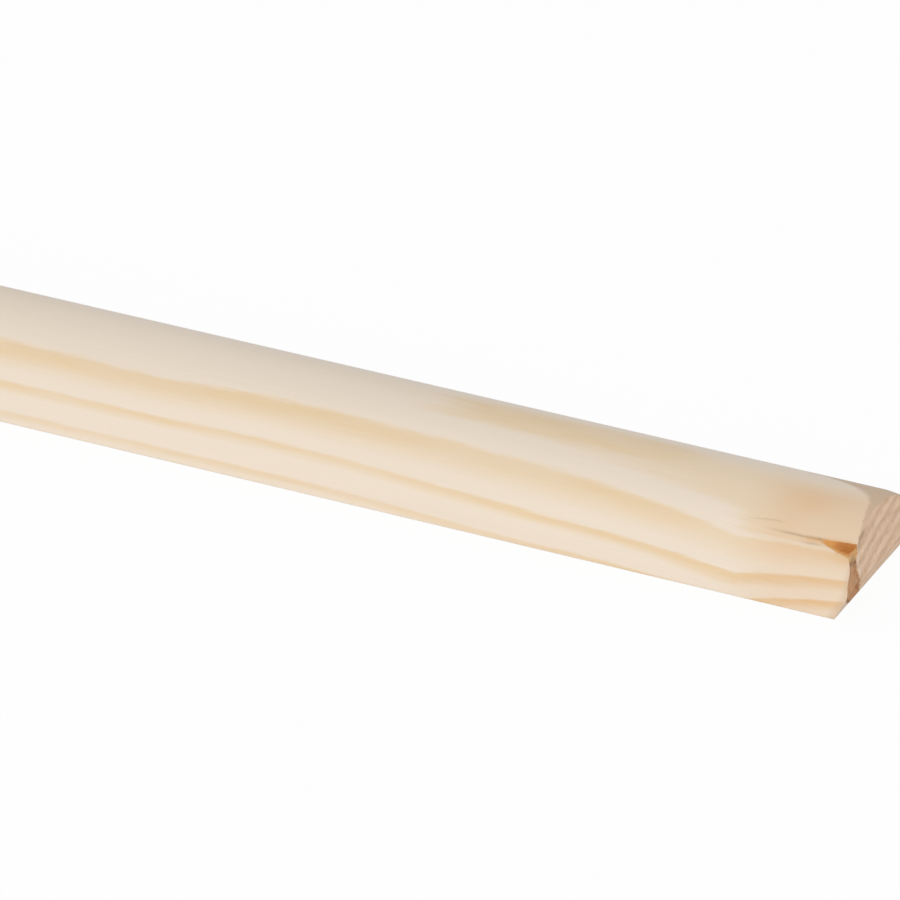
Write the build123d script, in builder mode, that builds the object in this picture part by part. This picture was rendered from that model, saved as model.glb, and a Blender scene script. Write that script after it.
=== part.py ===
"""Half-round moulding: one straight length of planed pine with a flat back and a half-circle face.

The length runs along X, the flat back lies on z = 0 and the origin is the centre of the back.
The end at -X is a clean square cut. The end at +X is a rough saw cut: fibres are torn out along its
back edge, its upper arris is worn, and a resin streak has opened into a short split in the face.
A crack runs from the split down through that end, and the splinter beside it is torn hollow.
"""

import os
from math import cos, radians, sin

from build123d import *

# Stock, in millimetres
LENGTH = 2400.0
WIDTH = 28.0
RADIUS = WIDTH / 2
ARRIS_RADIUS = 0.4

# Split in the face: a tapering V, widest at the sawn end, with its lips at angles up the face
SPLIT_LENGTH = 7.4
SPLIT_DEPTH = 1.3
SPLIT_LOWER_LIP = 41.0
SPLIT_ROOT = 47.4
SPLIT_UPPER_LIP = 51.6
SPLIT_TIP = 49.6

# Crack from the split down to the back, and the hollow that deepens towards it from the near side
CRACK_FOOT = -5.6
CRACK_LEAN = 0.32
HOLLOW_START = -12.6
HOLLOW_DEPTH = 0.45
HOLLOW_TOP = 9.8

# Torn fibres along the back edge of the sawn end
TEAR_BACK = 1.8
TEAR_HEIGHT = 3.0

# Worn upper arris of the sawn end: a shallow bevel that leans to the far side
WEAR_BACK = 2.5
WEAR_DEPTH = 0.4
WEAR_ANGLE = 112.0

# How far the cutting shapes stand clear of the wood
CLEAR = 0.2


def on_face(angle, radius=RADIUS):
    """Y and Z of a point at an angle in degrees up the face from the near edge of the back."""
    return (-radius * cos(radians(angle)), radius * sin(radians(angle)))


end_plane = Plane.YZ.offset(LENGTH / 2)
tear_plane = Plane(
    origin=(LENGTH / 2, 0, TEAR_HEIGHT),
    z_dir=(TEAR_HEIGHT, 0, -TEAR_BACK),
)
wear_plane = Plane(
    origin=(LENGTH / 2, *on_face(WEAR_ANGLE, RADIUS - WEAR_DEPTH)),
    z_dir=(WEAR_DEPTH, *on_face(WEAR_ANGLE, WEAR_BACK)),
)

with BuildPart() as half_round:
    # Section: half circle on a flat back, with the two long arrises eased
    with BuildSketch(Plane.YZ.offset(-LENGTH / 2)) as section:
        with BuildLine():
            CenterArc((0, 0), RADIUS, 0, 180)
            Line((-RADIUS, 0), (RADIUS, 0))
        make_face()
        fillet(section.vertices(), ARRIS_RADIUS)
    extrude(amount=LENGTH)

    # Torn back edge and worn upper arris of the sawn end
    split(bisect_by=tear_plane, keep=Keep.BOTTOM)
    split(bisect_by=wear_plane, keep=Keep.BOTTOM)

    # Split along the resin streak
    with BuildSketch(end_plane) as split_mouth:
        with BuildLine():
            Polyline(
                on_face(SPLIT_LOWER_LIP, RADIUS + CLEAR),
                on_face(SPLIT_ROOT, RADIUS - SPLIT_DEPTH),
                on_face(SPLIT_UPPER_LIP, RADIUS + CLEAR),
                close=True,
            )
        make_face()
    split_tip = Vertex(LENGTH / 2 - SPLIT_LENGTH, *on_face(SPLIT_TIP, RADIUS + CLEAR))
    loft(sections=[split_mouth.sketch.face(), split_tip], mode=Mode.SUBTRACT)

    # Hollow of the splinter: a wedge against the crack, which leans with height
    hollow_sections = []
    for height in (-CLEAR, HOLLOW_TOP):
        crack = CRACK_FOOT - CRACK_LEAN * height
        with BuildSketch(Plane.XY.offset(height)) as hollow:
            with BuildLine():
                Polyline(
                    (LENGTH / 2, HOLLOW_START),
                    (LENGTH / 2 + CLEAR, HOLLOW_START),
                    (LENGTH / 2 + CLEAR, crack),
                    (LENGTH / 2 - HOLLOW_DEPTH, crack),
                    close=True,
                )
            make_face()
        hollow_sections.append(hollow.sketch.face())
    loft(sections=hollow_sections, mode=Mode.SUBTRACT)

half_round.part.label = "half_round"
os.makedirs("parts", exist_ok=True)
export_step(half_round.part, "parts/half_round.step")
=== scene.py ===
"""Looks of a half-round pine moulding, laid out as an add-on and run as a script.

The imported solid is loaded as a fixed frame, and one finished mesh stands for it: planed face and back,
a clean square end, and a rough sawn end with its split, torn back edge and worn arris.
Shapes and finishes are worked out in millimetres, and a mesh is scaled to metres when it is stored.
Places along the length are given as the distance behind the plane of the sawn end, and places round
the face as the angle in degrees up from the near edge of the back.
"""

import math

import bpy
import numpy as np
from bpy.props import FloatProperty, FloatVectorProperty, PointerProperty
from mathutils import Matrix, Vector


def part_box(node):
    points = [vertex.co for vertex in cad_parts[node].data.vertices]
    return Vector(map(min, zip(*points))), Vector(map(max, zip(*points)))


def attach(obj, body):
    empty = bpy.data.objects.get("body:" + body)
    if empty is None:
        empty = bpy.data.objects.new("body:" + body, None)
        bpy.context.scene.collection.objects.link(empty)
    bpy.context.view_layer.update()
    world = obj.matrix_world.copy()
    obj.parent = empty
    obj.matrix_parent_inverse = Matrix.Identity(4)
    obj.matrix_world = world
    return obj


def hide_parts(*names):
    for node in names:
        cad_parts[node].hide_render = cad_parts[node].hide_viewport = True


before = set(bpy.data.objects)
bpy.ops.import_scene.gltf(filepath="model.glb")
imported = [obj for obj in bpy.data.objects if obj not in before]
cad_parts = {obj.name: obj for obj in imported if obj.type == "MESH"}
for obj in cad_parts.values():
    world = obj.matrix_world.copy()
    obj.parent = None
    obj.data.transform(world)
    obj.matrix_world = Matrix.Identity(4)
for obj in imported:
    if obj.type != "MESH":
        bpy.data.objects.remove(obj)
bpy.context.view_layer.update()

bl_info = {
    "name": "Half-Round Moulding",
    "version": (1, 0, 0),
    "blender": (4, 5, 0),
    "location": "View3D > Sidebar > Moulding",
    "description": "Builds a pine half-round moulding with its finishes and stage on the packed frame",
    "category": "Object",
}

NODE = "half_round"
BODY = "root"
MM = 0.001
LOW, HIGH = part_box(NODE)
LENGTH = (HIGH.x - LOW.x) / MM
RADIUS = HIGH.z / MM
END = HIGH.x / MM

# Sawn end: the main cut with its cutter ridges, a rounded arris and a nick in it
FACE_BACK = 0.42
CUT_CENTRE = (35.1, -107.5)
CUT_RING = 121.0
CUT_PITCH = 2.9
CUT_DEPTH = 0.06
CUT_GRAIN = 0.03
ROUNDING = 0.14
ROUNDING_WIDTH = 0.5
NICK_ANGLE = 59.0
NICK_SPREAD = 7.0
NICK_RADIUS = 13.3
NICK_WIDTH = 0.55
NICK_DEPTH = 0.3

# Sawn end: the crack, the splinter beyond it with its hollow, skin and chip, the torn foot and the wear
CRACK_FOOT = -4.0
CRACK_LEAN = 1.02
CRACK_BEND = 0.05
CRACK_TOP = (50.5, 52.5)
HOLLOW_FROM = -12.6
FIBRE_DEPTH = 0.08
FIBRE_EDGE = (-14.0, -12.0)
LIP_WIDTH = (-13.7, -12.9)
LIP_NOTCH = (1.6, 4.2)
SKIN_BACK = 0.2
SKIN_RISE = (4.5, 6.5)
CHIP_LEVEL = 8.1
CHIP_PLACE = -9.8
CHIP_SLOPE = 0.14
CHIP_FACE = 0.56
CHIP_BACK = 1.1
CHIP_RISE = (8.2, 9.8)
CHIP_WIDTH = 2.0
TEAR_POWER = 0.8
WEAR_ANGLE = 110.0
WEAR_SPREAD = 22.0

# Split: its upper lip falls and then runs level, and its spread in degrees closes along the length
SPLIT_LIP = 51.6
SPLIT_FALL = 0.27
SPLIT_LEVEL = 9.4
SPLIT_SPREAD = 10.4
SPLIT_CLOSING = 1.3
SPLIT_ROOT = 0.38

# Growth rings: their spacing and arch, and how they dip and then lift towards the sawn end
RING_START = 5.0
RING_WIDTH = 3.85
ARCH = 90.0
FAR_TILT = 0.16
DIP_PLACE = 19.0
DIP_DEPTH = 2.95
DIP_SHALLOWING = 0.099
DIP_REACH = 46.0
DIP_NARROWING = 2.8
DIP_START = (55.0, 95.0)
LIFT_RUN = 18.6
LIFT_HEIGHT = 5.0
LIFT_TOP = 11.0

# Growth rings: how they swell, pinch and droop on the way, and drift along the rest of the length
SWELL = 0.2
SWELL_TOP = 12.0
PINCH_PLACE = (96.0, 24.0)
PINCH = 0.37
BULGE_PLACE = (120.0, 15.0)
BULGE = 0.3
DROOP_RUN = (45.0, 70.0)
DROOP_TOP = 6.0
DROOP = 0.55
DRIFT_FROM = 160.0
DRIFT_LENGTHS = (310.0, 127.0)
DRIFT_HEIGHTS = (2.6, 0.9)

# In the finishes below, a pair is a range from none to full, or the middle and reach of a bell

# Growth lines: the rings, and the runs behind the sawn end, where they broaden, strengthen and fade
LOWER_RING = (0.0, 0.1)
UPPER_RING = (1.0, 1.1)
FADING_RING = (1.2, 1.5)
CROWN_RING = (2.05, 2.3)
CROWN_RUN = (130.0, 180.0)
BROAD_RUN = (20.0, 34.0)
STRONG_PLACE = (24.0, 14.0)
FADING_RUN = (16.0, 40.0)
FADING_PLACE = (62.0, 12.0)
LOWER_FADING_RUN = (40.0, 70.0)

# Tan patch and haze on the crown, and the amber wood by the sawn end
PATCH_START = (22.0, 36.0)
PATCH_STOP = (66.0, 80.0)
PATCH_FOOT = (73.0, 81.0)
PATCH_TOP = (97.0, 110.0)
HAZE_RUN = 19.5
HAZE_WIDENS = 58.0
HAZE_FOOT = (41.5, 45.5)
HAZE_TOP = (80.0, 104.0)
HAZE_LIFT = 5.0
HAZE_LIFT_RUN = (12.0, 18.0)
HAZE_FULL_RUN = (8.0, 14.0)
AMBER_RUN = (10.0, 22.0)
AMBER_TOP = (80.0, 106.0)
AMBER_RISE = (0.5, 4.0)
GLOW_PLACE = (9.6, 4.0)
GLOW_ANGLE = (75.0, 11.0)

# Worn patch round the upper arris, and the frayed fibres along the torn foot
WORN_MIDDLE = (126.0, 19.0)
WORN_RUN = 13.0
WORN_LEAST = 0.8
WORN_START = 62.0
WORN_LEVEL = 125.0
WORN_SLOPE = 0.035
WORN_SOFTENS = (84.0, 110.0)
WORN_FOOT = (52.0, 58.0)
WORN_STOP = (140.0, 168.0)
FRAY_START = 0.15
FRAY_RUN = 1.6
FRAY_TOP = (30.0, 42.0)

# Split: hairlines where it is closed, the smear and stains beside it, and the resin inside, with painted
# shade in its depth
CLOSED_START = (4.0, 6.5)
CLOSED_STOP = (10.0, 16.5)
SECOND_ANGLE = (55.0, 0.7)
SECOND_BEND = 14.5
SECOND_START = (12.0, 14.0)
SECOND_STOP = (16.5, 19.5)
SMEAR_PLACE = (7.4, 1.6)
STAIN_PLACE = (7.0, 2.2)
LIP_STAIN_START = (0.6, 1.6)
LIP_STAIN_STOP = (4.0, 7.0)
SOAKED_RUN = (1.0, 6.0)
SOAKED_ANGLE = (40.0, 3.6)
DEEP_RUN = (2.6, 5.0)
MOUTH_RUN = (0.1, 0.4)

# End grain: how far the sawn end's own marks reach, its pale foot, the painted highlight along the crack's
# edge, and the splinter's fresh wood with painted shadow at its edge
SAWN_RUN = (20.0, 40.0)
PALE_FOOT = (0.5, 3.4)
HIGHLIGHT_START = (3.5, 5.5)
HIGHLIGHT_STOP = (10.0, 10.8)
FRESH_EDGE = -8.1
FRESH_LEAN = 1.3
FRESH_RISE = (1.0, 2.4)

# Mesh: fade of the sawn end's unevenness, ease of the square end's edge, cap rings, least sharp angle
END_FADE = 12.0
SQUARE_EASE = 0.25
SQUARE_SHRINK = 0.012
FACE_FROM = 0.5
CAP_RINGS = 60
SHARP_ANGLE = 38.0

# Texture strips: the length is cut into rows of the map, the one by the sawn end at a larger scale
STRIP_EDGES = np.array([0.0, 200.0, 750.0, 1300.0, 1850.0, LENGTH])
STRIP_GAP = 4.0
MAP_PIXELS = 1024.0

# Stage: rays that see plain white, the white's share of the floor, and the floor's size and drop in metres
SEEN_BY = ("Is Camera Ray", "Is Glossy Ray", "Is Transmission Ray")
FLOOR_WHITE = 0.94
FLOOR_REACH = 80.0
FLOOR_DROP = 0.05 * MM


# Settings


class StockSettings(bpy.types.PropertyGroup):
    """Sizes of the stock."""

    arris: FloatProperty(
        name="Arris radius",
        description="Ease on the two long edges of the back",
        default=0.4 * MM,
        unit="LENGTH",
    )


class SawnEndSettings(bpy.types.PropertyGroup):
    """Sizes of the damage at the sawn end."""

    split_run: FloatProperty(
        name="Split run",
        description="How far the open split runs in from the end",
        default=7.4 * MM,
        unit="LENGTH",
    )
    split_depth: FloatProperty(
        name="Split depth",
        description="Depth of the split at the end",
        default=1.3 * MM,
        unit="LENGTH",
    )
    hollow: FloatProperty(
        name="Splinter hollow",
        description="How far the splinter is torn back where it meets the crack",
        default=0.6 * MM,
        unit="LENGTH",
    )
    tear_back: FloatProperty(
        name="Tear",
        description="How far fibres are torn back along the foot of the end",
        default=1.9 * MM,
        unit="LENGTH",
    )
    tear_height: FloatProperty(
        name="Tear height",
        description="How far up the end the torn fibres reach",
        default=3.6 * MM,
        unit="LENGTH",
    )
    wear_back: FloatProperty(
        name="Wear run",
        description="How far in from the end the upper arris is worn",
        default=2.5 * MM,
        unit="LENGTH",
    )
    wear_depth: FloatProperty(
        name="Wear depth",
        description="Wood lost at the upper arris",
        default=0.45 * MM,
        unit="LENGTH",
    )


class PineSettings(bpy.types.PropertyGroup):
    """Colours of the wood, as linear light."""

    earlywood: FloatVectorProperty(
        name="Earlywood",
        description="Pale wood between the growth lines",
        default=(0.860, 0.738, 0.602),
        subtype="COLOR",
        size=3,
    )
    latewood: FloatVectorProperty(
        name="Latewood",
        description="Tan growth lines on the planed face",
        default=(0.820, 0.620, 0.385),
        subtype="COLOR",
        size=3,
    )
    amber: FloatVectorProperty(
        name="Amber",
        description="Resin-tinged wood near the sawn end",
        default=(0.775, 0.505, 0.265),
        subtype="COLOR",
        size=3,
    )
    resin: FloatVectorProperty(
        name="Resin",
        description="Orange resin along the mouth of the split",
        default=(0.720, 0.360, 0.110),
        subtype="COLOR",
        size=3,
    )
    # Darker resin for the depth and upper wall of the split: partly the resin's own colour, partly painted
    # shade
    shaded_resin: FloatVectorProperty(
        name="Dark resin",
        description="Brown resin deep in the split",
        default=(0.520, 0.200, 0.045),
        subtype="COLOR",
        size=3,
    )
    hairline: FloatVectorProperty(
        name="Hairline",
        description="Grey-brown line where the split is still closed",
        default=(0.330, 0.230, 0.130),
        subtype="COLOR",
        size=3,
    )
    worn: FloatVectorProperty(
        name="Worn arris",
        description="Handled, greyed wood at the upper arris of the sawn end",
        default=(0.640, 0.458, 0.305),
        subtype="COLOR",
        size=3,
    )
    end_grain: FloatVectorProperty(
        name="End grain",
        description="Sawn end grain",
        default=(0.850, 0.610, 0.430),
        subtype="COLOR",
        size=3,
    )
    end_lines: FloatVectorProperty(
        name="End growth lines",
        description="Growth lines and cutter marks across the end grain",
        default=(0.590, 0.380, 0.225),
        subtype="COLOR",
        size=3,
    )
    torn: FloatVectorProperty(
        name="Torn fibres",
        description="Brown, resin-soaked fibres of the splinter",
        default=(0.600, 0.310, 0.145),
        subtype="COLOR",
        size=3,
    )
    chip: FloatVectorProperty(
        name="Chipped fibres",
        description="Tan fibres where the splinter is chipped below the split",
        default=(0.740, 0.450, 0.210),
        subtype="COLOR",
        size=3,
    )


class StageSettings(bpy.types.PropertyGroup):
    """Camera and light."""

    yaw: FloatProperty(
        name="Camera yaw",
        description="Turn of the camera from square on to the near side",
        default=math.radians(25.724),
        subtype="ANGLE",
    )
    pitch: FloatProperty(
        name="Camera pitch",
        description="How far the camera looks down",
        default=math.radians(28.991),
        subtype="ANGLE",
    )
    stand: FloatVectorProperty(
        name="Camera place",
        description="Camera position from the foot of the sawn end",
        default=(0.4205, -1.0253, 0.6361),
        subtype="TRANSLATION",
        unit="LENGTH",
        size=3,
    )
    lens: FloatProperty(
        name="Lens",
        description="Focal length in millimetres",
        default=332.3,
        min=1.0,
    )
    fill: FloatProperty(
        name="Fill",
        description="Strength of the even light from all round",
        default=0.595,
    )
    key: FloatProperty(
        name="Key",
        description="Strength of the soft light from the camera's side",
        default=1.135,
    )
    key_turn: FloatVectorProperty(
        name="Key turn",
        description="Tilt and turn of the soft light from straight down",
        default=(math.radians(54.0), 0.0, math.radians(20.0)),
        subtype="EULER",
        unit="ROTATION",
        size=3,
    )
    key_spread: FloatProperty(
        name="Key spread",
        description="Angular size of the soft light",
        default=math.radians(50.0),
        subtype="ANGLE",
    )
    mirrored: FloatVectorProperty(
        name="Mirrored",
        description="Colour of the surroundings where the wood reflects them",
        default=(0.78, 0.86, 0.98),
        subtype="COLOR",
        size=3,
    )
    floor: FloatVectorProperty(
        name="Floor",
        description="Colour of the plain floor",
        default=(1.0, 1.0, 1.0),
        subtype="COLOR",
        size=3,
    )


# Shapes


def ease(low, high, value):
    """Smooth step: 0 below low, 1 above high, and 3t^2 - 2t^3 between them."""
    t = np.clip((value - low) / (high - low), 0.0, 1.0)
    return t * t * (3.0 - 2.0 * t)


def rough(u, v, wavelength, seed, waves=7):
    """Repeatable unevenness of about -1 to 1: plane waves in seeded directions, each shorter and weaker."""
    shorter, weaker = 1.45, 0.78
    draw = np.random.default_rng(seed)
    total = np.zeros(np.broadcast(u, v).shape)
    weight = 0.0
    for step in range(waves):
        turn, phase = draw.uniform(0.0, 2.0 * math.pi, 2)
        rate = 2.0 * math.pi / wavelength * shorter**step
        share = weaker**step
        total += share * np.sin(rate * (u * math.cos(turn) + v * math.sin(turn)) + phase)
        weight += share
    return total * 2.0 / weight


def section_outline(radius, arris, arc_points=168, arris_points=6, back_points=40):
    """Closed section as y and z: half circle, two eased arrises and the flat back.

    The arc's points are spaced by 1 / (1 + crowd bump), a bump centred on the split, so they crowd there.
    An arris is a small arc tangent to the half circle and to the back.
    """
    crowd, crowd_angle, crowd_spread = 2.4, 47.0, 9.0
    tilt = math.degrees(math.asin(arris / (radius - arris)))
    fine = np.linspace(tilt, 180.0 - tilt, 2000)
    crowding = np.cumsum(1.0 + crowd * np.exp(-(((fine - crowd_angle) / crowd_spread) ** 2)))
    steps = np.linspace(crowding[0], crowding[-1], arc_points)
    arc = np.radians(np.interp(steps, crowding, fine))
    seat = math.sqrt((radius - arris) ** 2 - arris**2)
    turn = np.radians(np.linspace(-90.0, tilt, arris_points))[:-1]
    back = np.linspace(seat, -seat, back_points)[1:-1]
    near_y = -seat - arris * np.cos(turn)
    near_z = arris + arris * np.sin(turn)
    y = np.concatenate([near_y, -radius * np.cos(arc), -near_y[::-1], back])
    z = np.concatenate([near_z, radius * np.sin(arc), near_z[::-1], np.zeros_like(back)])
    return y, z


def crack_line(z):
    """Y of the crack that runs from the split down through the end, for numbers or shader fields.

    Y = foot - lean z + bend z^2.
    """
    return CRACK_FOOT - CRACK_LEAN * z + CRACK_BEND * z * z


def chip_seam(y, z):
    """Height above the lower edge of the splinter's chip, a sloping line, for numbers or shader fields."""
    return z - CHIP_LEVEL + CHIP_SLOPE * (y - CHIP_PLACE)


def main_cut(y, z, angle):
    """Setback of the main cut: curved cutter ridges, a rounded upper arris and a nick.

    Ridges = -depth cos(2 pi (reach - ring) / pitch), with reach the distance from the cutter's centre.
    """
    radius = np.hypot(y, z)
    reach = np.hypot(y - CUT_CENTRE[0], z - CUT_CENTRE[1])
    ridges = np.cos(2.0 * math.pi * (reach - CUT_RING) / CUT_PITCH + 1.4 * rough(y, z, 6.0, 3))
    ridges = -CUT_DEPTH * ridges * (0.6 + 0.4 * rough(y, z, 4.0, 4))
    upper = ease(0.45, 0.85, z / np.maximum(radius, 1e-6))
    rounding = ROUNDING * upper * ease(RADIUS - ROUNDING_WIDTH, RADIUS, radius)
    off_angle, off_radius = (angle - NICK_ANGLE) / NICK_SPREAD, (radius - NICK_RADIUS) / NICK_WIDTH
    nick = NICK_DEPTH * np.exp(-(off_angle**2) - off_radius**2)
    return FACE_BACK + ridges + rounding + nick + CUT_GRAIN * rough(y, z, 2.4, 5)


def splinter_face(y, z, end):
    """Setback of the splinter: a thin skin, hollow towards the crack and chipped towards the split."""
    crack = crack_line(z)
    skin = SKIN_BACK * ease(*SKIN_RISE, z)
    hollow = end.hollow / MM * ease(HOLLOW_FROM, crack, y)
    outward = np.clip((crack - y) / CHIP_WIDTH, 0.0, 1.0)
    chip = CHIP_FACE + CHIP_BACK * ease(*CHIP_RISE, z) * outward
    chipped = ease(-0.3, 0.3, chip_seam(y, z) + 0.3 * rough(y, z, 2.0, 6))
    fibres = FIBRE_DEPTH * (1.0 + rough(y, z, 1.3, 8)) * ease(*FIBRE_EDGE, y)
    return (skin + hollow) * (1.0 - chipped) + chip * chipped + fibres


def sawn_setback(y, z, end):
    """How far the sawn end lies behind its plane at a point of the section.

    The main cut and the splinter lie either side of the crack. Over both, fibres are torn back along the
    foot: face + (tear - face)(1 - z / height)^power, and more squarely behind the splinter's thin skin.
    """
    angle = np.degrees(np.arctan2(z, -y))
    below_split = 1.0 - ease(*CRACK_TOP, angle)
    beyond = ease(-0.12, 0.12, crack_line(z) - y + 0.1 * rough(y, z, 1.7, 9)) * below_split
    face = main_cut(y, z, angle) * (1.0 - beyond) + splinter_face(y, z, end) * beyond
    face = np.clip(face, 0.0, None)
    foot = np.clip(1.0 - z / (end.tear_height / MM), 0.0, 1.0) ** TEAR_POWER
    notch = beyond * ease(*LIP_WIDTH, y)
    foot = foot + (1.0 - ease(*LIP_NOTCH, z) - foot) * notch
    torn = (end.tear_back / MM - face) * foot * (1.0 + 0.06 * rough(y, z, 1.4, 12) * (1.0 - foot))
    return face + torn


def split_lip(back):
    """Angle of the split's upper lip: lip - fall back, level beyond a set distance."""
    return SPLIT_LIP - SPLIT_FALL * np.minimum(back, SPLIT_LEVEL)


def split_depth(back, angle, end):
    """Depth of the split: a V between its lips, whose width and depth run out along the length.

    Width = spread (1 - (back / run)^closing), and the root lies a set share of the width below the
    upper lip, so the upper wall is the steeper.
    """
    along = np.clip(back / (end.split_run / MM), 0.0, 1.0)
    width = SPLIT_SPREAD * (1.0 - along**SPLIT_CLOSING) + 1e-3
    upper = split_lip(back) + 0.35 * rough(back, 0.0 * angle, 3.0, 21)
    lower = upper - width * (1.0 + 0.08 * rough(back, 0.0 * angle, 1.9, 22))
    root = upper - SPLIT_ROOT * width
    share = np.minimum((angle - lower) / (root - lower), (upper - angle) / (upper - root))
    return end.split_depth / MM * (1.0 - along) * np.clip(share, 0.0, 1.0)


def arris_wear(back, angle, end):
    """Wood lost at the upper arris: depth (1 - back / run)^2 exp(-((angle - middle) / spread)^2)."""
    along = np.clip(1.0 - back / (end.wear_back / MM), 0.0, 1.0)
    return end.wear_depth / MM * along**2 * np.exp(-(((angle - WEAR_ANGLE) / WEAR_SPREAD) ** 2))


def length_rows(strips):
    """Distances behind the sawn end at which the section repeats: steps that grow from 0.1 to 16 mm.

    Step = first + gain back, held at the longest, with a row on each edge of the texture strips and a few
    close rows at the square end.
    """
    first, gain, longest = 0.1, 0.036, 16.0
    reach = (longest - first) / gain
    near = first / gain * np.expm1(gain * np.arange(0.0, math.log1p(gain * reach / first) / gain))
    far = np.arange(reach, LENGTH - 10.0, longest)
    rows = np.concatenate([near, far])
    fixed = np.concatenate([strips, LENGTH - np.array([8.0, 3.0, 1.0, 0.35, 0.12])])
    step = first + gain * np.minimum(rows, reach)
    clear = np.abs(rows[:, None] - fixed[None, :]).min(axis=1) > 0.3 * step
    return np.unique(np.concatenate([rows[clear & (rows > 0.0)], fixed]))


def side_points(y0, z0, rows, end):
    """Points of the side: the section carried along X, with one row for each distance behind the end.

    x = end - back - setback (1 - back / fade)^2, with the section drawn in by the split and the worn
    arris, and a little at the square end.
    """
    angle = np.degrees(np.arctan2(z0, -y0))[None, :]
    back = np.broadcast_to(rows[:, None], (len(rows), len(y0)))
    on_face = (z0 > FACE_FROM)[None, :]
    inward = np.maximum(split_depth(back, angle, end), arris_wear(back, angle, end)) * on_face
    shrink = 1.0 - inward / np.hypot(y0, z0)[None, :]
    from_square = np.clip((SQUARE_EASE - (LENGTH - back)) / SQUARE_EASE, 0.0, 1.0)
    shrink = shrink * (1.0 - SQUARE_SHRINK * from_square**2)
    y, z = y0[None, :] * shrink, z0[None, :] * shrink
    weight = np.clip(1.0 - back / END_FADE, 0.0, 1.0) ** 2
    return np.stack([END - back - sawn_setback(y, z, end) * weight, y, z], axis=-1)


def cap_rings(y, z, count):
    """Rings inside a section outline: the outline drawn in towards a middle point, and that point.

    Ring k is middle + (outline - middle)(1 - t_k), with t_k from 0 to just under 1.
    """
    middle = np.array([0.0, 0.4 * RADIUS])
    inward = (np.arange(1, count) / count) ** 1.15
    ring_y = middle[0] + (y[None, :] - middle[0]) * (1.0 - inward[:, None])
    ring_z = middle[1] + (z[None, :] - middle[1]) * (1.0 - inward[:, None])
    return ring_y, ring_z, middle


def grid_quads(rows, columns, first=0):
    """Corner numbers of the quads of a grid that is closed across its columns."""
    number = first + np.arange(rows * columns).reshape(rows, columns)
    along = np.roll(number, -1, axis=1)
    return np.stack([number[:-1], along[:-1], along[1:], number[1:]], axis=-1).reshape(-1, 4)


def cap_faces(columns, edge, first, count, pole):
    """Quads from an end row of the side to a cap's innermost ring, and a fan of triangles to its pole."""
    around = np.arange(columns)
    following = np.roll(around, -1)
    joined = np.stack([edge + around, edge + following, first + following, first + around], axis=-1)
    quads = np.concatenate([joined, grid_quads(count, columns, first)])
    last = first + (count - 1) * columns
    fan = np.stack([last + around, last + following, np.full(columns, pole)], axis=-1)
    return quads, fan


def strip_map(back, around, girth):
    """Map places of the side: each strip is length across and girth up, at the scale that fills the row.

    Takes the corners' distances behind the sawn end and round the section, picks a face's strip by the
    face's middle, and returns u, v and the height that the strips take up in pixels.
    """
    middle = back.mean(axis=1, keepdims=True)
    strip = np.clip(np.searchsorted(STRIP_EDGES, middle) - 1, 0, len(STRIP_EDGES) - 2)
    spans = np.diff(STRIP_EDGES)
    scales = (MAP_PIXELS - 2.0 * STRIP_GAP) / spans
    heights = scales * girth + STRIP_GAP
    starts = STRIP_GAP + np.concatenate([[0.0], np.cumsum(heights)[:-1]])
    u = STRIP_GAP + (back - STRIP_EDGES[strip]) * scales[strip]
    v = starts[strip] + around * scales[strip]
    return u / MAP_PIXELS, v / MAP_PIXELS, starts[-1] + heights[-1]


def map_places(y0, z0, rows, points, side_quads, caps):
    """Map places of every face corner: the side in strips, and past them the two caps side by side.

    The caps are given as the sawn end's two sets of faces and then the square end's two.
    """
    columns = len(y0)
    walk = np.concatenate([[0.0], np.cumsum(np.hypot(np.diff(y0), np.diff(z0)))])
    girth = walk[-1] + math.hypot(y0[0] - y0[-1], z0[0] - z0[-1])
    column = side_quads % columns
    corner_walk = np.where((column == 0) & (column[:, :1] == columns - 1), girth, walk[column])
    u, v, used = strip_map(rows[side_quads // columns], corner_walk, girth)
    places = [np.stack([u, v], axis=-1).reshape(-1, 2)]
    scale = (MAP_PIXELS - used - 2.0 * STRIP_GAP) / RADIUS
    square_shift = 2.0 * RADIUS * scale + STRIP_GAP
    for shift, part in zip((0.0, 0.0, square_shift, square_shift), caps):
        corner = points[part.reshape(-1)]
        across = STRIP_GAP + shift + (corner[:, 1] + RADIUS) * scale
        up = used + STRIP_GAP + corner[:, 2] * scale
        places.append(np.stack([across, up], axis=-1) / MAP_PIXELS)
    return np.concatenate(places)


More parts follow.
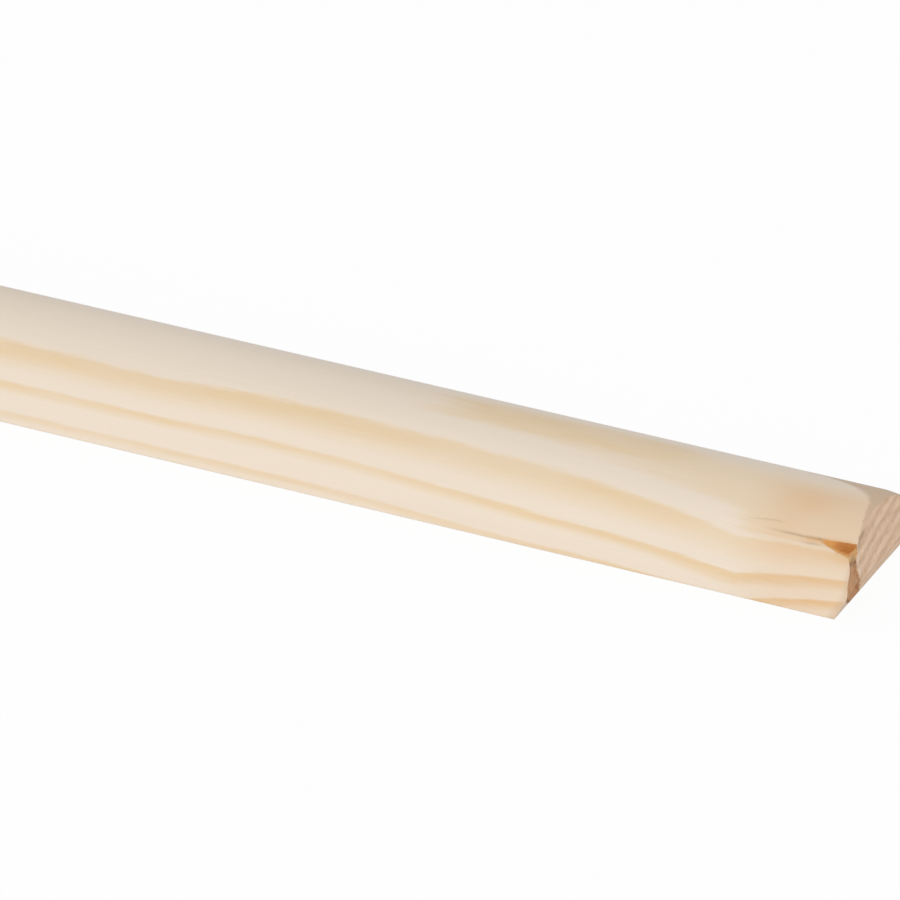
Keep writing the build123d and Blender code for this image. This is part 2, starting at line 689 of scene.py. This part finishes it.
def moulding_mesh(name, stock, end):
    """Mesh of the whole length: the side, with both ends closed by rings that share its end rows.

    The first finish is the side's and the second is that of both ends.
    """
    y0, z0 = section_outline(RADIUS, stock.arris / MM)
    rows = length_rows(STRIP_EDGES)
    columns = len(y0)
    side = side_points(y0, z0, rows, end)
    sawn_y, sawn_z, middle = cap_rings(side[0, :, 1], side[0, :, 2], CAP_RINGS)
    sawn = np.stack([END - sawn_setback(sawn_y, sawn_z, end), sawn_y, sawn_z], axis=-1)
    square_y, square_z, _ = cap_rings(side[-1, :, 1], side[-1, :, 2], CAP_RINGS // 2)
    square = np.stack([np.full_like(square_y, END - LENGTH), square_y, square_z], axis=-1)
    sawn_pole = [END - float(sawn_setback(middle[:1], middle[1:], end)[0]), *middle]
    square_pole = [END - LENGTH, *middle]
    parts = [side.reshape(-1, 3), sawn.reshape(-1, 3), square.reshape(-1, 3), [sawn_pole, square_pole]]
    points = np.concatenate(parts)

    side_quads = grid_quads(len(rows), columns)
    first_sawn = len(rows) * columns
    first_square = first_sawn + len(sawn) * columns
    first_pole = first_square + len(square) * columns
    sawn_faces = cap_faces(columns, 0, first_sawn, len(sawn), first_pole)
    edge = (len(rows) - 1) * columns
    square_faces = cap_faces(columns, edge, first_square, len(square), first_pole + 1)
    caps = [*(part[:, ::-1] for part in sawn_faces), *square_faces]
    faces = [corners for part in (side_quads, *caps) for corners in part.tolist()]
    mesh = bpy.data.meshes.new(name)
    mesh.from_pydata((points * MM).tolist(), [], faces)
    mesh.polygons.foreach_set("material_index", (np.arange(len(faces)) >= len(side_quads)).astype(np.int32))
    mesh.polygons.foreach_set("use_smooth", np.ones(len(faces), bool))
    mesh.set_sharp_from_angle(angle=math.radians(SHARP_ANGLE))

    layer = mesh.uv_layers.new(name="OFBake")
    places = map_places(y0, z0, rows, points, side_quads, caps)
    layer.data.foreach_set("uv", places.astype(np.float32).reshape(-1))
    mesh.validate()
    mesh.update()
    return mesh


# Finishes


class Field:
    """A shader value. Arithmetic with numbers or other fields adds Math nodes to its finish."""

    def __init__(self, finish, socket):
        self.finish = finish
        self.socket = socket

    def math(self, operation, *values):
        settings = {"operation": operation}
        return self.finish.node("ShaderNodeMath", settings, dict(enumerate(values)))

    def __add__(self, other):
        return self.math("ADD", self, other)

    def __radd__(self, other):
        return self.math("ADD", other, self)

    def __sub__(self, other):
        return self.math("SUBTRACT", self, other)

    def __rsub__(self, other):
        return self.math("SUBTRACT", other, self)

    def __mul__(self, other):
        return self.math("MULTIPLY", self, other)

    def __rmul__(self, other):
        return self.math("MULTIPLY", other, self)

    def __truediv__(self, other):
        return self.math("DIVIDE", self, other)

    def __pow__(self, other):
        return self.math("POWER", self, other)

    def __neg__(self):
        return self.math("MULTIPLY", self, -1.0)

    def least(self, other):
        return self.math("MINIMUM", self, other)

    def most(self, other):
        return self.math("MAXIMUM", self, other)

    def fraction(self):
        return self.math("FRACT", self)

    def sine(self):
        return self.math("SINE", self)

    def cosine(self):
        return self.math("COSINE", self)

    def exponent(self):
        return self.math("EXPONENT", self)

    def bell(self, place, reach):
        """exp(-((value - place) / reach)^2)."""
        off = (self - place) / reach
        return (-(off * off)).exponent()

    def ease(self, low, high):
        """Smooth step from 0 at low to 1 at high. The limits may be fields."""
        sockets = {"Value": self, "From Min": low, "From Max": high, "To Min": 0.0, "To Max": 1.0}
        return self.finish.node("ShaderNodeMapRange", {"interpolation_type": "SMOOTHSTEP"}, sockets)


class Finish:
    """Nodes of one material or world, with the object's coordinates in millimetres ready to use."""

    def __init__(self, holder):
        holder.use_nodes = True
        self.tree = holder.node_tree
        self.tree.nodes.clear()

    def node(self, kind, settings=None, sockets=None, output=0):
        """Adds a node, sets its settings, then sets or links its sockets, and returns one output if any."""
        made = self.tree.nodes.new(kind)
        for key, value in (settings or {}).items():
            setattr(made, key, value)
        for key, value in (sockets or {}).items():
            if isinstance(value, Field):
                self.tree.links.new(value.socket, made.inputs[key])
            else:
                made.inputs[key].default_value = value
        return Field(self, made.outputs[output]) if made.outputs else None

    def coordinates(self):
        """X, Y and Z of the object in millimetres, as one vector and as three values."""
        place = self.node("ShaderNodeTexCoord", output="Object")
        settings = {"operation": "SCALE"}
        vector = self.node("ShaderNodeVectorMath", settings, {"Vector": place, "Scale": 1.0 / MM})
        parts = [self.node("ShaderNodeSeparateXYZ", None, {"Vector": vector}, axis) for axis in "XYZ"]
        return vector, *parts

    def noise(self, vector, stretch, detail=3.0, roughness=0.55, shift=(0.0, 0.0, 0.0)):
        """Noise of about -1 to 1 with the given grain length along each axis, in millimetres."""
        settings = {"operation": "MULTIPLY_ADD"}
        sockets = {0: vector, 1: tuple(1.0 / size for size in stretch), 2: shift}
        place = self.node("ShaderNodeVectorMath", settings, sockets)
        sockets = {"Vector": place, "Scale": 1.0, "Detail": detail, "Roughness": roughness}
        raw = self.node("ShaderNodeTexNoise", None, sockets)
        return (raw - 0.5) * 2.0

    def mix(self, share, low, high):
        """Colour between two colours or fields."""
        sockets = {"Factor": share, 6: self.colour(low), 7: self.colour(high)}
        settings = {"data_type": "RGBA"}
        return self.node("ShaderNodeMix", settings, sockets, 2)

    def shade(self, colour, factor):
        """Colour times a value."""
        return self.node("ShaderNodeVectorMath", {"operation": "SCALE"}, {"Vector": colour, "Scale": factor})

    @staticmethod
    def colour(value):
        return value if isinstance(value, Field) else (*value, 1.0)

    def surface(self, colour, roughness, height, relief):
        """Principled surface with a bump in millimetres, wired to the output."""
        sockets = {"Height": height * MM, "Strength": relief, "Distance": 1.0}
        normal = self.node("ShaderNodeBump", None, sockets)
        sockets = {"Base Color": colour, "Roughness": roughness, "Normal": normal, "IOR": 1.46}
        shader = self.node("ShaderNodeBsdfPrincipled", None, sockets)
        self.node("ShaderNodeOutputMaterial", None, {"Surface": shader})

    def seen(self):
        """1 for rays that reach the camera straight, by reflection or through glass, and 0 for lighting."""
        first, second, third = (self.node("ShaderNodeLightPath", output=name) for name in SEEN_BY)
        return first.most(second).most(third)

    def white(self, mirrored):
        """White, or the given colour for rays that a surface reflects."""
        reflected = self.node("ShaderNodeLightPath", output="Is Glossy Ray")
        return self.mix(reflected, (1.0, 1.0, 1.0), mirrored)


def face_angle(y, z):
    """Angle in degrees up from the near edge of the back, for two shader fields."""
    return z.math("ARCTAN2", z, -y) * (180.0 / math.pi)


def growth(finish, vector, back, y, z):
    """Ring phase of a point: a whole number at each growth line's sharp outer edge.

    Height above the pith side, arched across the section, swelling a little on the way, dipped and then
    lifted towards the sawn end, and drifting slowly along the rest of the length.
    """
    beyond = (back - DRIFT_FROM).most(0.0)
    slow, quick = ((beyond / length).sine() * height for length, height in zip(DRIFT_LENGTHS, DRIFT_HEIGHTS))
    swell = SWELL - back.bell(*PINCH_PLACE) * PINCH + back.bell(*BULGE_PLACE) * BULGE
    fall = (back - DIP_PLACE).most(0.0) / (z * DIP_NARROWING - DIP_REACH)
    dip = fall.exponent() * (DIP_DEPTH - z * DIP_SHALLOWING) * (1.0 - back.ease(*DIP_START))
    lift = (1.0 - back / LIFT_RUN).most(0.0) * (1.0 - z / LIFT_TOP).most(0.0) * LIFT_HEIGHT
    droop = (1.0 - z / DROOP_TOP).most(0.0) * back.ease(*DROOP_RUN) * DROOP
    wobble = finish.noise(vector, (42.0, 9.0, 9.0), detail=2.0) * 0.3
    fibres = finish.noise(vector, (6.0, 0.7, 0.7), detail=4.0, roughness=0.65) * 0.3
    height = z + y * y / ARCH + y.most(0.0) * FAR_TILT + swell * z / SWELL_TOP
    height = height + droop + dip - lift + slow + quick
    return (height + wobble + fibres - RING_START) / RING_WIDTH


def growth_lines(back, phase):
    """Strength of the growth lines: each rises slowly and stops sharply, the upper ones more slowly.

    They fade along parts of the length, and the plane has taken them off the crown by the sawn end.
    """
    turn = phase.fraction()
    upper = phase.ease(*UPPER_RING)
    start = 0.52 - upper * 0.36 - (1.0 - back.ease(*BROAD_RUN)) * 0.24
    late = turn.ease(start.most(0.12), 0.88) * (1.0 - turn.ease(0.87, 1.0))
    fading = (1.0 - back.ease(*FADING_RUN)) * 0.25 + back.bell(*FADING_PLACE) * 0.15
    fading = fading * phase.ease(*FADING_RING)
    fading = fading + (1.0 - phase.ease(*LOWER_RING)) * back.ease(*LOWER_FADING_RUN) * 0.25
    crown = phase.ease(*CROWN_RING) * (1.0 - back.ease(*CROWN_RUN))
    strong = 1.0 + back.bell(*STRONG_PLACE) * (1.0 - upper) * 0.35
    return late * (1.0 - fading) * (1.0 - crown) * strong


def planed_grain(finish, pine, vector, back, z, angle, phase):
    """Colour of the planed wood, how much latewood shows, and its fine streaks.

    Along the crown the plane has run inside one growth line: it shows as a ragged tan patch and a tan
    haze that reaches the sawn end.
    """
    blotch = finish.noise(vector, (38.0, 3.0, 3.0), detail=3.0)
    mottle = finish.noise(vector, (12.0, 1.5, 1.5), detail=3.0)
    streaks = finish.noise(vector, (60.0, 0.35, 0.35), detail=4.0, roughness=0.65)
    late = growth_lines(back, phase) * (0.87 + blotch * 0.35 + mottle * 0.35)

    ragged = angle + blotch * 4.0 + mottle * 2.5 + streaks * 3.0
    place = back + blotch * 9.0 + streaks * 3.5
    patch = ragged.ease(*PATCH_FOOT) * (1.0 - angle.ease(*PATCH_TOP)) * (0.85 + mottle * 0.4)
    patch = patch * place.ease(*PATCH_START) * (1.0 - place.ease(*PATCH_STOP))
    rise = (angle - HAZE_WIDENS).most(0.0)
    reach = rise * 1.6 + HAZE_RUN + mottle * 2.0
    place = back + blotch * 6.0 + streaks * 2.5
    lifted = back.ease(*HAZE_LIFT_RUN) * HAZE_LIFT
    haze = ragged.ease(*HAZE_FOOT) * (1.0 - place.ease(reach - 3.0 - rise, reach + 3.0 + rise))
    haze = haze * (1.0 - angle.ease(*(lifted + top for top in HAZE_TOP)))
    haze = haze * (0.36 + back.ease(*HAZE_FULL_RUN) * 0.2 + mottle * 0.1)
    late = late.most(patch).most(haze)

    near = (1.0 - back.ease(*AMBER_RUN)) * (1.0 - angle.ease(*AMBER_TOP) * z.ease(*AMBER_RISE) * 0.8)
    glow = back.bell(*GLOW_PLACE) * angle.bell(*GLOW_ANGLE)
    early = finish.mix(near * 0.3, pine.earlywood, pine.amber)
    lines = finish.mix(near * 0.9, pine.latewood, pine.amber)
    wood = finish.mix(late, early, lines)
    wood = finish.mix(glow * 0.5, wood, pine.amber)
    return finish.shade(wood, 1.0 + streaks * 0.035 + blotch * 0.02), late, streaks


def worn_share(back, z, angle, torn_edge, end):
    """How worn the wood is: a patch round the upper arris, and frayed fibres along the torn foot."""
    slope = (angle.least(WORN_LEVEL) - WORN_START) * WORN_SLOPE
    edge = angle.bell(*WORN_MIDDLE) * WORN_RUN + slope + WORN_LEAST + torn_edge * 0.75
    nearer, farther = ((angle - place).most(0.0) for place in WORN_SOFTENS)
    blur = nearer * 0.06 + farther * 0.14
    worn = 1.0 - back.ease(edge - blur * 0.5 - 0.15, edge + blur * 1.5 + 0.25)
    worn = worn * angle.ease(*WORN_FOOT) * (1.0 - angle.ease(*WORN_STOP)) * (0.94 + torn_edge * 0.12)
    tear = (1.0 - z / (end.tear_height / MM)).most(0.0) ** TEAR_POWER * (end.tear_back / MM)
    frayed = (1.0 - (back - tear).ease(FRAY_START, torn_edge + FRAY_RUN)) * (1.0 - angle.ease(*FRAY_TOP))
    return worn.most(frayed * 0.5)


def split_lines(back, angle, below, ragged, broken):
    """Dark lines of the split: where it is still closed, a shorter one above, and a smear under its tip.

    Below is the angle below the split's upper lip.
    """
    closed = below.bell(0.3, 0.85) * back.ease(*CLOSED_START) * (1.0 - back.ease(*CLOSED_STOP))
    closed = closed * (0.43 + broken * 0.45)
    second = (angle + (back - SECOND_BEND).most(0.0) * 0.6 + ragged * 0.3).bell(*SECOND_ANGLE)
    second = second * back.ease(*SECOND_START) * (1.0 - back.ease(*SECOND_STOP)) * (0.2 + broken * 0.15)
    smear = below.bell(4.2, 0.9) * back.bell(*SMEAR_PLACE) * 0.35
    return closed.most(second).most(smear)


def split_resin(finish, pine, wood, back, below, ragged, end):
    """Colour of the wood with the open split in it, and how far a point lies inside the split.

    Resin coats the split and is darker in its depth and on its upper wall, partly as darker resin and partly
    as painted shade. At the mouth it is broken off with the wood.
    """
    run = end.split_run / MM
    width = (1.0 - (back / run).least(1.0) ** SPLIT_CLOSING) * SPLIT_SPREAD
    inside = below.ease(-0.4, 0.4) * (1.0 - below.ease(width - 0.4, width + 0.7))
    inside = inside * (1.0 - back.ease(run - 2.0, run - 0.8))
    # Painted shade together with darker resin: deep in the split, on its upper wall, and near the end where
    # the split is deepest
    deep = (1.0 - back.ease(*DEEP_RUN)) * (1.0 - (below / (width + 0.5)).ease(0.55, 0.95))
    coated = finish.mix(deep, pine.resin, pine.shaded_resin)
    mouth = 1.0 - (back - below.least(4.0) * 0.28 + ragged * 0.1).ease(*MOUTH_RUN)
    broken_off = finish.mix(below.ease(1.0, 4.0), pine.torn, pine.chip)
    broken_off = finish.shade(broken_off, 0.9 + ragged * 0.15)
    return finish.mix(inside, wood, finish.mix(mouth, coated, broken_off)), inside


def planed_pine(pine, end):
    """Planed face and back: grain, the worn arris, and the split with its resin and hairlines."""
    material = bpy.data.materials.new("planed_pine")
    finish = Finish(material)
    vector, x, y, z = finish.coordinates()
    back, angle = END - x, face_angle(y, z)
    phase = growth(finish, vector, back, y, z)
    wood, late, streaks = planed_grain(finish, pine, vector, back, z, angle, phase)
    ragged = finish.noise(vector, (0.9, 0.9, 0.9), detail=3.0)
    broken = finish.noise(vector, (2.5, 0.5, 0.5), detail=2.0)
    torn_edge = finish.noise(vector, (4.0, 1.1, 1.1), detail=4.0, roughness=0.65)
    handled = finish.shade(pine.worn, 1.0 + torn_edge * 0.07 + broken * 0.05 + streaks * 0.05)
    wood = finish.mix(worn_share(back, z, angle, torn_edge, end), wood, handled)

    below = SPLIT_LIP - back.least(SPLIT_LEVEL) * SPLIT_FALL - angle + ragged * 0.3
    stain = below.bell(1.4, 1.8) * back.bell(*STAIN_PLACE) * (0.55 + broken * 0.2)
    lip_stain = below.bell(-0.6, 1.1) * back.ease(*LIP_STAIN_START) * (1.0 - back.ease(*LIP_STAIN_STOP))
    wood = finish.mix(stain.most(lip_stain * 0.3), wood, pine.resin)
    soaked = (1.0 - (back + torn_edge).ease(*SOAKED_RUN)) * angle.bell(*SOAKED_ANGLE)
    wood = finish.mix(soaked * 0.6, wood, pine.amber)
    lines = split_lines(back, angle, below, ragged, broken)
    wood = finish.mix(lines, wood, pine.hairline)
    wood, inside = split_resin(finish, pine, wood, back, below, ragged, end)

    roughness = 0.56 - late * 0.08 + streaks * 0.04 - inside * 0.15
    height = streaks * 0.012 + late * 0.01 - lines * 0.06
    finish.surface(wood, roughness, height, 0.6)
    return material


def saw_marks(finish, x, y, z, patches):
    """Broad marks and fine scratches of the saw, along circles round the cutter's centre."""
    off_y, off_z = y - CUT_CENTRE[0], z - CUT_CENTRE[1]
    reach = (off_y * off_y + off_z * off_z) ** 0.5 - CUT_RING + patches * 0.7
    sweep = z.math("ARCTAN2", off_z, off_y) * CUT_RING
    polar = finish.node("ShaderNodeCombineXYZ", None, {"X": reach, "Y": sweep, "Z": x})
    scratches = finish.noise(polar, (0.7, 9.0, 9.0), detail=4.0, roughness=0.65)
    marks = 0.5 - (reach * (2.0 * math.pi / CUT_PITCH)).cosine() * 0.5
    return marks * (0.45 + patches * 0.4).most(0.0), scratches


def splinter_wood(finish, pine, y, z, past, patches, ragged, pores):
    """Colour of the splinter: torn brown fibres, tan where it is chipped, and fresh wood at its near foot.

    Past is the distance beyond the crack. The shadow is painted shade along the chip's seam, beside the crack
    and at the fresh wood's edge.
    """
    seam = chip_seam(y, z) + ragged * 0.35
    chipped = seam.ease(-0.1, 0.5)
    torn = finish.mix((0.2 + patches * 0.6).most(0.0), pine.torn, pine.end_lines)
    chip = finish.shade(pine.chip, 0.98 - past.bell(0.4, 0.7) * 0.3 + ragged * 0.15)
    torn = finish.mix(chipped, torn, chip)
    shadow = seam.bell(0.1, 0.35) * 0.38 + past.bell(0.1, 0.3) * 0.2 * (1.0 - chipped)
    fresh = ragged * 0.7 + pores * 0.3 - y - z * FRESH_LEAN + FRESH_EDGE
    shadow = shadow + fresh.bell(-0.35, 0.4) * (1.0 - z.ease(*FRESH_RISE)) * 0.45
    torn = finish.shade(torn, 1.0 - shadow + ragged * 0.2 + pores * 0.1)
    return finish.mix(fresh.ease(-0.2, 0.6) * 0.9, torn, pine.earlywood)


def sawn_end_grain(pine):
    """Sawn ends: growth lines seen end on, curved saw marks, a painted highlight along the crack's edge, and
    the torn and chipped splinter with its painted shadow.
    """
    material = bpy.data.materials.new("sawn_end_grain")
    finish = Finish(material)
    vector, x, y, z = finish.coordinates()
    back, angle = END - x, face_angle(y, z)
    at_sawn_end = 1.0 - back.ease(*SAWN_RUN)
    turn = growth(finish, vector, back, y, z).fraction()
    late = turn.ease(0.5, 0.95) * (1.0 - turn.ease(0.96, 1.0))
    pores = finish.noise(vector, (2.0, 0.2, 0.2), detail=2.0)
    patches = finish.noise(vector, (6.0, 1.6, 1.6), detail=3.0)
    ragged = finish.noise(vector, (1.0, 1.0, 1.0), detail=3.0)

    marks, scratches = saw_marks(finish, x, y, z, patches)
    marks = marks * at_sawn_end
    lines = marks + late * 0.2 + scratches * (0.2 + at_sawn_end * 0.25)
    lines = lines + patches * 0.3 + 0.15 - at_sawn_end * 0.07
    wood = finish.mix(lines.most(0.0).least(1.0), pine.end_grain, pine.end_lines)
    bright = (-scratches).ease(0.12, 0.5) * at_sawn_end
    wood = finish.mix(bright * 0.3, wood, pine.earlywood)
    wood = finish.mix((1.0 - z.ease(*PALE_FOOT)) * at_sawn_end * 0.35, wood, pine.earlywood)
    radius = (y * y + z * z) ** 0.5 + ragged * 0.3
    nick = angle.bell(NICK_ANGLE, NICK_SPREAD) * radius.bell(NICK_RADIUS, NICK_WIDTH)
    wood = finish.mix(nick * at_sawn_end * 0.75, wood, pine.hairline)

    past = crack_line(z) - y + ragged * 0.15
    # Painted highlight: paler wood along the main cut's edge at the crack, standing in for the light on that
    # edge
    edge_highlight = past.bell(-0.55, 0.4) * z.ease(*HIGHLIGHT_START) * (1.0 - z.ease(*HIGHLIGHT_STOP)) * at_sawn_end
    wood = finish.mix(edge_highlight * 0.35, wood, pine.earlywood)
    splinter = past.ease(-0.22, 0.02) * at_sawn_end * (1.0 - angle.ease(*CRACK_TOP))
    wood = finish.mix(splinter, wood, splinter_wood(finish, pine, y, z, past, patches, ragged, pores))
    wood = finish.shade(wood, 1.0 + pores * 0.09 + patches * 0.04)
    height = marks * -0.04 + scratches * 0.05 + pores * 0.05
    finish.surface(wood, 0.78 + pores * 0.06, height, 0.7)
    return material


def plain_floor(stage):
    """Floor that is white where it is seen, with a share of its own lit colour for the shadow."""
    material = bpy.data.materials.new("plain_floor")
    finish = Finish(material)
    lit = finish.node("ShaderNodeBsdfDiffuse", None, {"Color": (*stage.floor, 1.0)})
    sockets = {"Color": finish.white(stage.mirrored), "Strength": 1.0}
    white = finish.node("ShaderNodeEmission", None, sockets)
    both = finish.node("ShaderNodeMixShader", None, {0: finish.seen() * FLOOR_WHITE, 1: lit, 2: white})
    finish.node("ShaderNodeOutputMaterial", None, {"Surface": both})
    return material


def studio_world(stage):
    """World that is white where it is seen, tinted where it is mirrored, and an even fill light elsewhere."""
    world = bpy.data.worlds.new("studio_white")
    finish = Finish(world)
    strength = finish.seen() * (1.0 - stage.fill) + stage.fill
    sockets = {"Color": finish.white(stage.mirrored), "Strength": strength}
    light = finish.node("ShaderNodeBackground", None, sockets)
    finish.node("ShaderNodeOutputWorld", None, {"Surface": light})
    return world


# Operators


class MOULDING_OT_length(bpy.types.Operator):
    """Build the length of half-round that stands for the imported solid"""

    bl_idname = "moulding.length"
    bl_label = "Half-round length"

    def execute(self, context):
        scene = context.scene
        pine, end = scene.moulding_pine, scene.moulding_sawn_end
        mesh = moulding_mesh("half_round_pine", scene.moulding_stock, end)
        mesh.materials.append(planed_pine(pine, end))
        mesh.materials.append(sawn_end_grain(pine))
        piece = bpy.data.objects.new("half_round_pine", mesh)
        scene.collection.objects.link(piece)
        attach(piece, BODY)
        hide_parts(NODE)
        return {"FINISHED"}


class MOULDING_OT_stage(bpy.types.Operator):
    """Set the floor, the soft light and the camera"""

    bl_idname = "moulding.stage"
    bl_label = "Stage"

    def execute(self, context):
        scene = context.scene
        stage = scene.moulding_stage
        scene.view_settings.view_transform = "Standard"
        scene.world = studio_world(stage)

        signs = ((-1.0, -1.0), (1.0, -1.0), (1.0, 1.0), (-1.0, 1.0))
        corners = [(FLOOR_REACH * x, FLOOR_REACH * y, LOW.z - FLOOR_DROP) for x, y in signs]
        floor_mesh = bpy.data.meshes.new("plain_floor")
        floor_mesh.from_pydata(corners, [], [(0, 1, 2, 3)])
        floor_mesh.materials.append(plain_floor(stage))
        floor = bpy.data.objects.new("plain_floor", floor_mesh)
        scene.collection.objects.link(floor)

        lamp = bpy.data.lights.new("soft_key", "SUN")
        lamp.energy = stage.key
        lamp.angle = stage.key_spread
        key = bpy.data.objects.new("soft_key", lamp)
        key.rotation_euler = stage.key_turn
        scene.collection.objects.link(key)

        lens = bpy.data.cameras.new("camera")
        lens.lens = stage.lens
        camera = bpy.data.objects.new("camera", lens)
        camera.location = (HIGH.x + stage.stand[0], stage.stand[1], stage.stand[2])
        camera.rotation_euler = (math.pi / 2.0 - stage.pitch, 0.0, stage.yaw)
        scene.collection.objects.link(camera)
        scene.camera = camera
        return {"FINISHED"}


class MOULDING_PT_panel(bpy.types.Panel):
    """Settings and steps of the moulding"""

    bl_idname = "MOULDING_PT_panel"
    bl_label = "Half-Round Moulding"
    bl_space_type = "VIEW_3D"
    bl_region_type = "UI"
    bl_category = "Moulding"

    def draw(self, context):
        for name in GROUPS:
            group = getattr(context.scene, name)
            box = self.layout.box()
            for key in type(group).__annotations__:
                box.prop(group, key)
        self.layout.operator(MOULDING_OT_length.bl_idname)
        self.layout.operator(MOULDING_OT_stage.bl_idname)


GROUPS = {
    "moulding_stock": StockSettings,
    "moulding_sawn_end": SawnEndSettings,
    "moulding_pine": PineSettings,
    "moulding_stage": StageSettings,
}
CLASSES = (*GROUPS.values(), MOULDING_OT_length, MOULDING_OT_stage, MOULDING_PT_panel)


def register():
    for cls in CLASSES:
        bpy.utils.register_class(cls)
    for name, group in GROUPS.items():
        setattr(bpy.types.Scene, name, PointerProperty(type=group))


def unregister():
    for name in GROUPS:
        delattr(bpy.types.Scene, name)
    for cls in reversed(CLASSES):
        bpy.utils.unregister_class(cls)


def main():
    register()
    bpy.ops.moulding.length()
    bpy.ops.moulding.stage()


if __name__ == "__main__":
    main()
